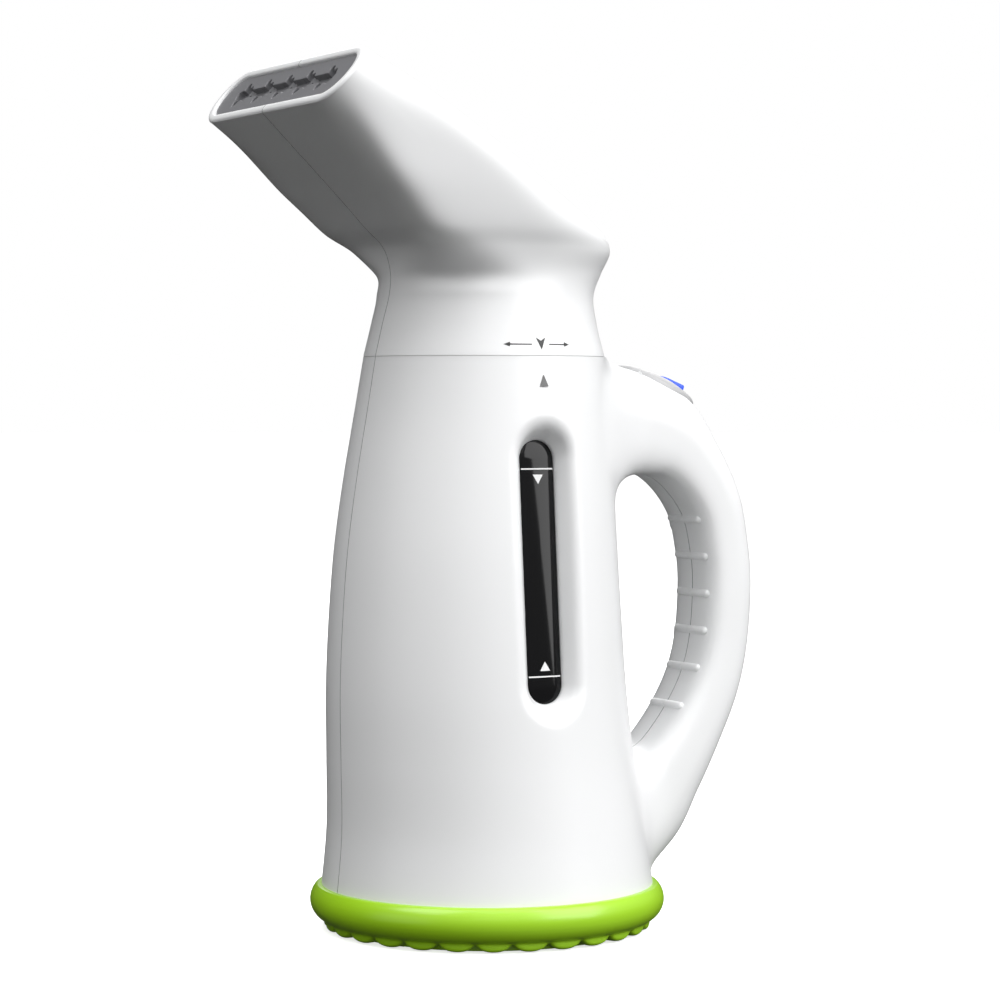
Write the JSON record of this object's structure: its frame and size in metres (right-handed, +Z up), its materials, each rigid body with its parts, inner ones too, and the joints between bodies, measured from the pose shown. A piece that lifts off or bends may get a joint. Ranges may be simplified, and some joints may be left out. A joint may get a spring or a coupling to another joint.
{
  "type": "handheld garment steamer",
  "caption": "Handheld garment steamer: tapered round water body on a lobed base ring, loop handle with rocker switch, side water gauge, and a wide flat spout head that twists off.",
  "frame": {"origin": "centre of the flat foot of the base ring, in the plane that the steamer stands on", "axes": "+Z up; the spout points along -Y; the loop handle is on +Y; the plane of symmetry of the shells is X = 0 and the water gauge is on +X"},
  "size_m": [0.1024, 0.1576, 0.2477],
  "materials": {
    "shell_white": "satin white moulded ABS",
    "base_lime": "satin lime moulded plastic",
    "bezel_grey": "fine matt light grey",
    "rocker_blue": "smooth blue",
    "nozzle_grey": "heat resistant dark grey plastic",
    "lens_smoke": "smoked clear plastic",
    "tank_clear": "natural polycarbonate",
    "inner_plastic": "natural nylon",
    "dark_plastic": "black phenolic or nylon",
    "silicone": "silicone rubber",
    "black_rubber": "black flexible PVC",
    "heater_metal": "die-cast aluminium",
    "element_steel": "heat-tinted steel sheath",
    "screw_steel": "zinc plated",
    "contact_brass": "bright brass",
    "ceramic_cream": "cream moulding or ceramic",
    "wire_brown": "silicone insulation",
    "wire_black": "silicone insulation",
    "wire_blue": "silicone insulation",
    "wire_white": "glass-fibre sleeving"
  },
  "bodies": {
    "base": {"body_shell_left": "shell_white", "body_shell_right": "shell_white", "base_ring": "base_lime", "base_cover": "dark_plastic", "base_screws": "screw_steel", "shell_screws": "screw_steel", "gauge_lens": "lens_smoke", "lens_gasket": "silicone", "water_tank": "tank_clear", "tank_collar": "inner_plastic", "neck_gasket": "silicone", "heater_plate": "heater_metal", "heater_gasket": "silicone", "heater_screws": "screw_steel", "heating_element": "element_steel", "thermostat": "ceramic_cream", "thermostat_screws": "screw_steel", "thermal_fuse": "ceramic_cream", "fuse_clip": "screw_steel", "terminal_block": "ceramic_cream", "supply_wire": "wire_brown", "switch_wire": "wire_black", "neutral_wire": "wire_blue", "fuse_wire": "wire_white", "cord_gland": "black_rubber", "cord_clamp": "inner_plastic", "clamp_screws": "screw_steel", "switch_bezel": "bezel_grey", "switch_housing": "dark_plastic", "switch_terminals": "contact_brass", "rocker_pin": "screw_steel", "contact_pin": "screw_steel"},
    "head": {"head_shell_left": "shell_white", "head_shell_right": "shell_white", "bayonet_plug": "inner_plastic", "spill_baffle": "inner_plastic", "duct_gasket": "silicone", "steam_duct": "inner_plastic", "nozzle_manifold": "inner_plastic", "manifold_gasket": "silicone", "nozzle_plate": "nozzle_grey", "head_screws": "screw_steel"},
    "rocker": {"rocker": "rocker_blue"},
    "contact_arm": {"contact_arm": "contact_brass"}
  },
  "joints": [
    {"name": "head_twist", "type": "hinge", "parent": "base", "child": "head", "pos_m": [0, -0.001, 0.165], "axis": [0, 0, -1], "range_deg": [0, 30]},
    {"name": "rocker_tilt", "type": "hinge", "parent": "base", "child": "rocker", "pos_m": [0, 0.05574, 0.15443], "axis": [-1, 0, 0], "range_deg": [0, 14]},
    {"name": "contact_tilt", "type": "hinge", "parent": "base", "child": "contact_arm", "pos_m": [0, 0.053, 0.14854], "axis": [1, 0, 0], "range_deg": [0, 9]}
  ],
  "couplings": [
    {"joint": "contact_tilt", "follows": "rocker_tilt", "ratio": 0.6}
  ]
}
